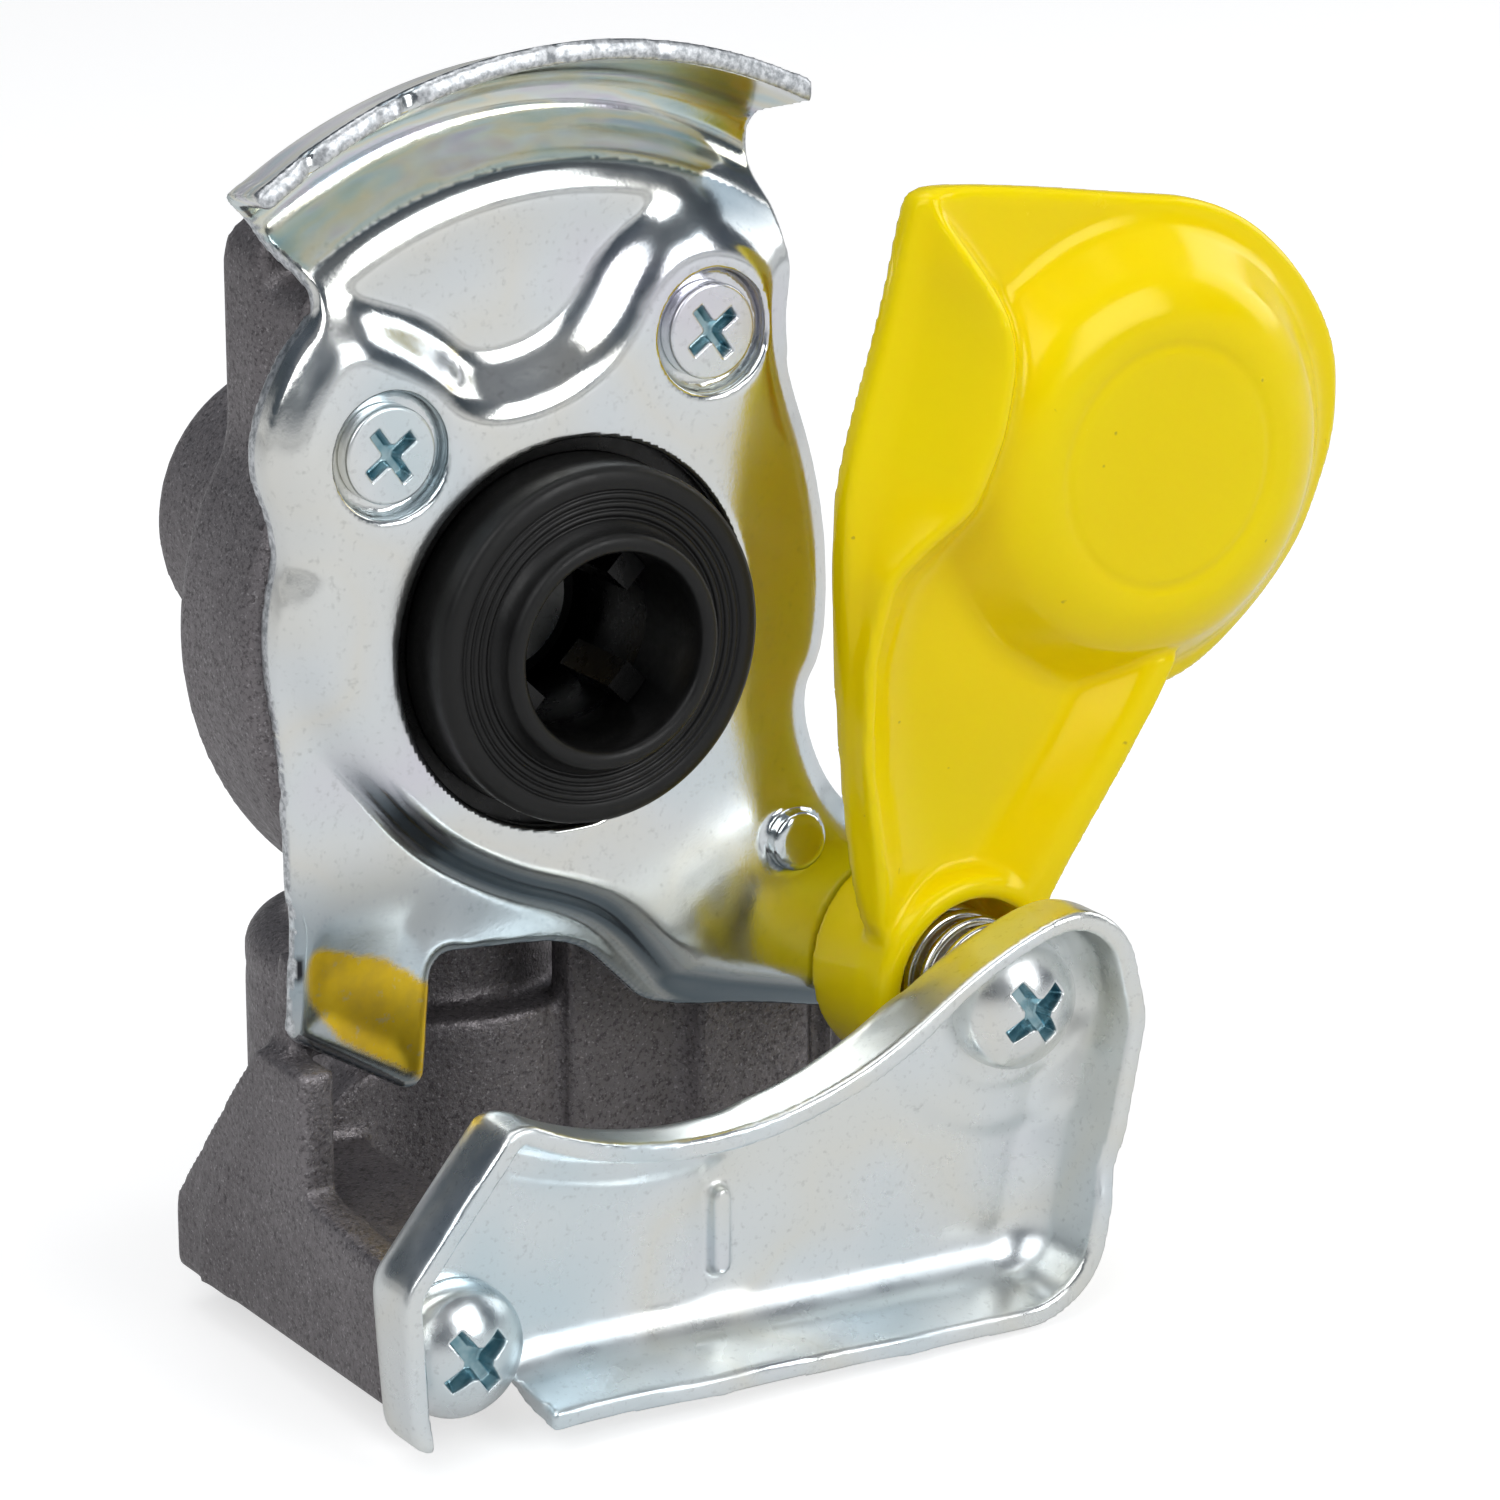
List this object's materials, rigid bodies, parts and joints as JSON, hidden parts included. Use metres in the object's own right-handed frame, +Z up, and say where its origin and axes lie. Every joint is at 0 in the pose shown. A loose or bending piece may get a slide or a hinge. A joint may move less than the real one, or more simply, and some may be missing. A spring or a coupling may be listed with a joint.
{
  "type": "palm coupling",
  "caption": "Palm coupling for an air brake line with a shut-off valve: claw plate, guide bracket, rubber face seal and a sprung swinging dust cover, on a threaded port.",
  "frame": {"origin": "centre of the threaded port's mouth, on the port's axis", "axes": "+Z up the port's axis, from the port to the lip; -Y the way the seal faces; +X towards the cover's pivot"},
  "size_m": [0.1141, 0.082, 0.1256],
  "materials": {
    "cast_aluminium": "shot-blasted die casting, matt dark grey",
    "zinc_plate": "bright bluish zinc plating",
    "zinc_bracket": "bright bluish zinc plating",
    "zinc_screw": "bright bluish zinc plating",
    "spring_steel": "plated spring wire",
    "yellow_plastic": "glossy moulded",
    "black_rubber": "satin",
    "black_plastic": "matt",
    "stem_brass": "turned"
  },
  "bodies": {
    "root": {"housing": "cast_aluminium", "claw_plate": "zinc_plate", "plate_screw_left": "zinc_screw", "plate_screw_right": "zinc_screw", "guide_bracket": "zinc_bracket", "bracket_screw": "zinc_screw", "pivot_screw": "zinc_screw", "pivot_sleeve": "zinc_screw", "valve_stem": "stem_brass", "valve_disc": "black_rubber", "valve_disc_washer": "zinc_screw", "valve_spring": "spring_steel"},
    "spring": {"cover_spring": "spring_steel"},
    "cover": {"cover": "yellow_plastic"},
    "valve": {"seal_ring": "black_rubber", "seal_carrier": "black_plastic", "carrier_o_ring": "black_rubber"}
  },
  "joints": [
    {"name": "cover_lift", "type": "slide", "parent": "root", "child": "spring", "axis": [0, -1, 0], "range_m": [0, 0.0025], "stiffness_N_per_m": 1500, "springref_m": -0.005, "deforming": ["cover_spring"]},
    {"name": "cover_swing", "type": "hinge", "parent": "spring", "child": "cover", "pos_m": [0.0375, -0.0374, 0.0278], "axis": [0, -1, 0], "range_deg": [0, 65]},
    {"name": "valve_push", "type": "slide", "parent": "root", "child": "valve", "axis": [0, 1, 0], "range_m": [0, 0.004], "stiffness_N_per_m": 5000, "springref_m": -0.006, "deforming": ["valve_spring"]}
  ]
}
